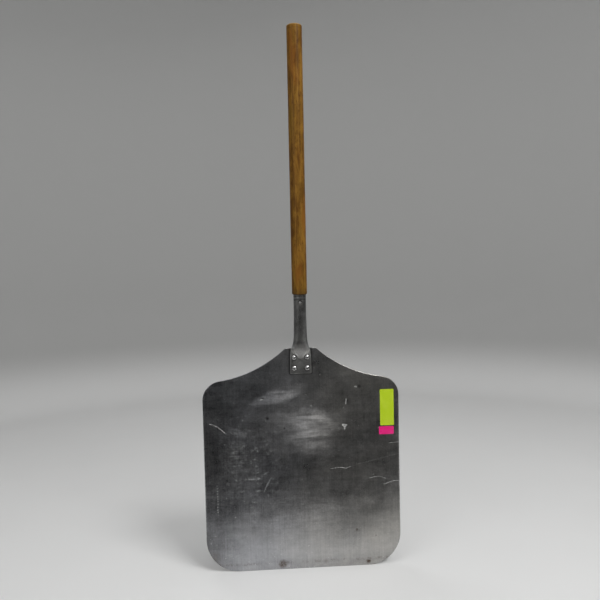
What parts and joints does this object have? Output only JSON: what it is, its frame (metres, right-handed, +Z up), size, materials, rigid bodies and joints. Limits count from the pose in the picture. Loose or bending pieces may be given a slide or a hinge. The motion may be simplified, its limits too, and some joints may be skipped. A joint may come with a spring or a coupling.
{
  "type": "pizza peel",
  "caption": "Long-handled pizza peel: flat rectangular metal blade with rounded corners and hollow shoulders, riveted to a crushed tube socket that holds a round wooden handle.",
  "frame": {"origin": "floor height, below the middle of the whole peel's box, when it stands on the leading edge of its blade", "axes": "+Z up the blade towards the handle's free end; +X to the right of someone facing the working side; the working side faces -Y"},
  "size_m": [0.3556, 0.0406, 0.9655],
  "materials": {
    "blade_aluminium": "worn satin with scratches and baked-on haze",
    "socket_aluminium": "dull drawn tube, darkened by use",
    "rivet_aluminium": "bright, polished by wear",
    "pin_steel": "plain steel",
    "handle_wood": "clear lacquer, worn",
    "green_paper": "matt label paper",
    "pink_paper": "matt label paper"
  },
  "bodies": {
    "root": {"blade": "blade_aluminium", "handle_socket": "socket_aluminium", "wooden_handle": "handle_wood", "retaining_pin": "pin_steel", "rivet_lower_left": "rivet_aluminium", "rivet_lower_right": "rivet_aluminium", "rivet_upper_left": "rivet_aluminium", "rivet_upper_right": "rivet_aluminium", "lot_label_green": "green_paper", "lot_label_pink": "pink_paper"}
  },
  "joints": []
}
